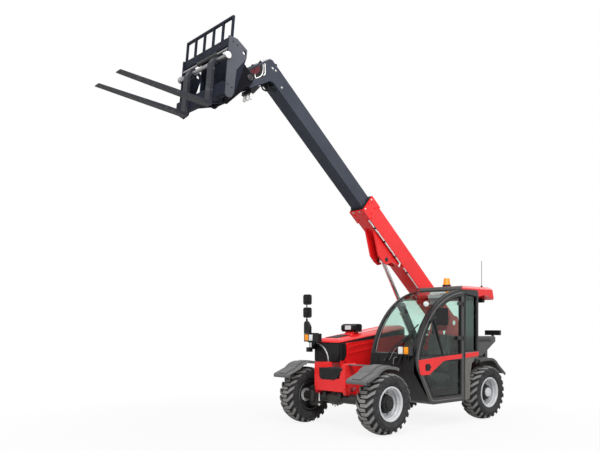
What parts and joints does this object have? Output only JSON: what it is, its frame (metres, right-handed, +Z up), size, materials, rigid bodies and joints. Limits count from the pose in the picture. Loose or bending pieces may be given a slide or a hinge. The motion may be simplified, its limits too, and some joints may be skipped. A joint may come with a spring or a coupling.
{
  "type": "telescopic handler",
  "caption": "Compact telehandler with side cab, raised telescopic boom, fork carriage with load guard, steered wheels, and a door and hood that open.",
  "frame": {"origin": "on the ground under the middle of the overall length, on the machine's centre plane", "axes": "+X forward, +Y to the machine's left (cab side), +Z up"},
  "size_m": [6.3456, 2.1037, 4.9974],
  "materials": {
    "red_paint": "gloss",
    "slate_paint": "satin",
    "dark_paint": "satin",
    "grey_plastic": "grained",
    "black_plastic": "grained",
    "black_paint": "satin",
    "cast_black": "painted",
    "bright_steel": "polished",
    "fork_steel": "worn paint",
    "cab_glass": "clear",
    "seat_vinyl": "soft",
    "amber_lens": "clear",
    "rim_silver": "satin",
    "tyre_rubber": "matte"
  },
  "bodies": {
    "chassis": {"main_frame": "red_paint", "boom_rest": "black_plastic", "counterweight": "dark_paint", "front_axle": "cast_black", "rear_axle": "cast_black", "engine_block": "cast_black", "bay_panels": "red_paint", "front_grille": "black_plastic", "rear_bodies": "dark_paint", "front_fenders": "grey_plastic", "rear_fenders": "grey_plastic", "cab_frame": "black_paint", "windscreen": "cab_glass", "cab_windows": "cab_glass", "cab_roof": "red_paint", "quarter_panel": "grey_plastic", "seat": "seat_vinyl", "steering_console": "black_plastic", "beacon": "amber_lens", "aerial": "black_plastic", "head_lamps": "black_plastic", "rear_lamps": "black_plastic", "right_mirrors": "black_plastic", "boom_pin": "bright_steel"},
    "hood": {"hood": "red_paint", "hood_lamp": "black_plastic"},
    "door": {"door": "black_paint", "door_glass": "cab_glass", "door_belt": "red_paint", "left_mirror": "black_plastic"},
    "boom": {"boom_outer": "red_paint"},
    "boom_ext": {"boom_inner": "slate_paint"},
    "lift_barrel": {"lift_barrel": "slate_paint"},
    "lift_rod": {"lift_rod": "bright_steel"},
    "tilt_barrel": {"tilt_barrel": "slate_paint"},
    "tilt_rod": {"tilt_rod": "bright_steel"},
    "carriage": {"coupler": "slate_paint", "fork_frame": "slate_paint", "load_guard": "slate_paint", "fork_shaft": "bright_steel", "fork_left": "fork_steel", "fork_right": "fork_steel"},
    "front_steer_rod": {"front_steer_rod": "bright_steel"},
    "rear_steer_rod": {"rear_steer_rod": "bright_steel"},
    "knuckle_fl": {"knuckle_fl": "cast_black"},
    "wheel_fl": {"rim_fl": "rim_silver", "tyre_fl": "tyre_rubber"},
    "knuckle_fr": {"knuckle_fr": "cast_black"},
    "wheel_fr": {"rim_fr": "rim_silver", "tyre_fr": "tyre_rubber"},
    "knuckle_rl": {"knuckle_rl": "cast_black"},
    "wheel_rl": {"rim_rl": "rim_silver", "tyre_rl": "tyre_rubber"},
    "knuckle_rr": {"knuckle_rr": "cast_black"},
    "wheel_rr": {"rim_rr": "rim_silver", "tyre_rr": "tyre_rubber"}
  },
  "joints": [
    {"name": "boom_lift", "type": "hinge", "parent": "chassis", "child": "boom", "pos_m": [-2.8328, -0.12, 1.484], "axis": [0, -1, 0], "range_deg": [-48.2, 26.8]},
    {"name": "boom_extend", "type": "slide", "parent": "boom", "child": "boom_ext", "axis": [0.7638, 0, 0.6455], "range_m": [-2, 0]},
    {"name": "carriage_tilt", "type": "hinge", "parent": "boom_ext", "child": "carriage", "pos_m": [1.36657, -0.12, 4.50904], "axis": [0, 1, 0], "range_deg": [-60, 62]},
    {"name": "lift_barrel_swing", "type": "hinge", "parent": "chassis", "child": "lift_barrel", "pos_m": [-2.4278, -0.12, 0.643], "axis": [0, -1, 0], "range_deg": [-48, 26]},
    {"name": "lift_rod_slide", "type": "slide", "parent": "lift_barrel", "child": "lift_rod", "axis": [0.5518, 0, 0.834], "range_m": [-0.8, 0.45]},
    {"name": "tilt_barrel_swing", "type": "hinge", "parent": "boom_ext", "child": "tilt_barrel", "pos_m": [0.90071, -0.12, 4.66525], "axis": [0, -1, 0], "range_deg": [-10, 10]},
    {"name": "tilt_rod_slide", "type": "slide", "parent": "tilt_barrel", "child": "tilt_rod", "axis": [0.9944, 0, -0.1055], "range_m": [-0.12, 0.12]},
    {"name": "cab_door", "type": "hinge", "parent": "chassis", "child": "door", "pos_m": [-1.8968, 0.892, 1.25], "axis": [0, 0, 1], "range_deg": [0, 90]},
    {"name": "hood_lid", "type": "hinge", "parent": "chassis", "child": "hood", "pos_m": [-2.0068, -0.575, 1.42], "axis": [0, -1, 0], "range_deg": [0, 60]},
    {"name": "steer_fl", "type": "hinge", "parent": "chassis", "child": "knuckle_fl", "pos_m": [-0.2628, 0.6, 0.4155], "axis": [0, 0, 1], "range_deg": [-32, 32]},
    {"name": "steer_fr", "type": "hinge", "parent": "chassis", "child": "knuckle_fr", "pos_m": [-0.2628, -0.6, 0.4155], "axis": [0, 0, 1], "range_deg": [-32, 32]},
    {"name": "steer_rl", "type": "hinge", "parent": "chassis", "child": "knuckle_rl", "pos_m": [-2.5628, 0.6, 0.4155], "axis": [0, 0, 1], "range_deg": [-32, 32]},
    {"name": "steer_rr", "type": "hinge", "parent": "chassis", "child": "knuckle_rr", "pos_m": [-2.5628, -0.6, 0.4155], "axis": [0, 0, 1], "range_deg": [-32, 32]},
    {"name": "spin_fl", "type": "hinge", "parent": "knuckle_fl", "child": "wheel_fl", "pos_m": [-0.2628, 0.7715, 0.4155], "axis": [0, 1, 0], "continuous": true},
    {"name": "spin_fr", "type": "hinge", "parent": "knuckle_fr", "child": "wheel_fr", "pos_m": [-0.2628, -0.7715, 0.4155], "axis": [0, 1, 0], "continuous": true},
    {"name": "spin_rl", "type": "hinge", "parent": "knuckle_rl", "child": "wheel_rl", "pos_m": [-2.5628, 0.7715, 0.4155], "axis": [0, 1, 0], "continuous": true},
    {"name": "spin_rr", "type": "hinge", "parent": "knuckle_rr", "child": "wheel_rr", "pos_m": [-2.5628, -0.7715, 0.4155], "axis": [0, 1, 0], "continuous": true},
    {"name": "front_steer_slide", "type": "slide", "parent": "chassis", "child": "front_steer_rod", "axis": [0, 1, 0], "range_m": [-0.09, 0.09]},
    {"name": "rear_steer_slide", "type": "slide", "parent": "chassis", "child": "rear_steer_rod", "axis": [0, 1, 0], "range_m": [-0.09, 0.09]}
  ],
  "couplings": [
    {"joint": "lift_barrel_swing", "follows": "boom_lift", "ratio": 0.82},
    {"joint": "lift_rod_slide", "follows": "boom_lift", "m_per_rad": 0.89},
    {"joint": "tilt_barrel_swing", "follows": "carriage_tilt", "ratio": -0.119},
    {"joint": "tilt_rod_slide", "follows": "carriage_tilt", "m_per_rad": 0.0957},
    {"joint": "steer_fr", "follows": "steer_fl", "ratio": 1},
    {"joint": "steer_rl", "follows": "steer_fl", "ratio": -1},
    {"joint": "steer_rr", "follows": "steer_fl", "ratio": -1},
    {"joint": "front_steer_slide", "follows": "steer_fl", "m_per_rad": -0.15},
    {"joint": "rear_steer_slide", "follows": "steer_fl", "m_per_rad": -0.15}
  ]
}
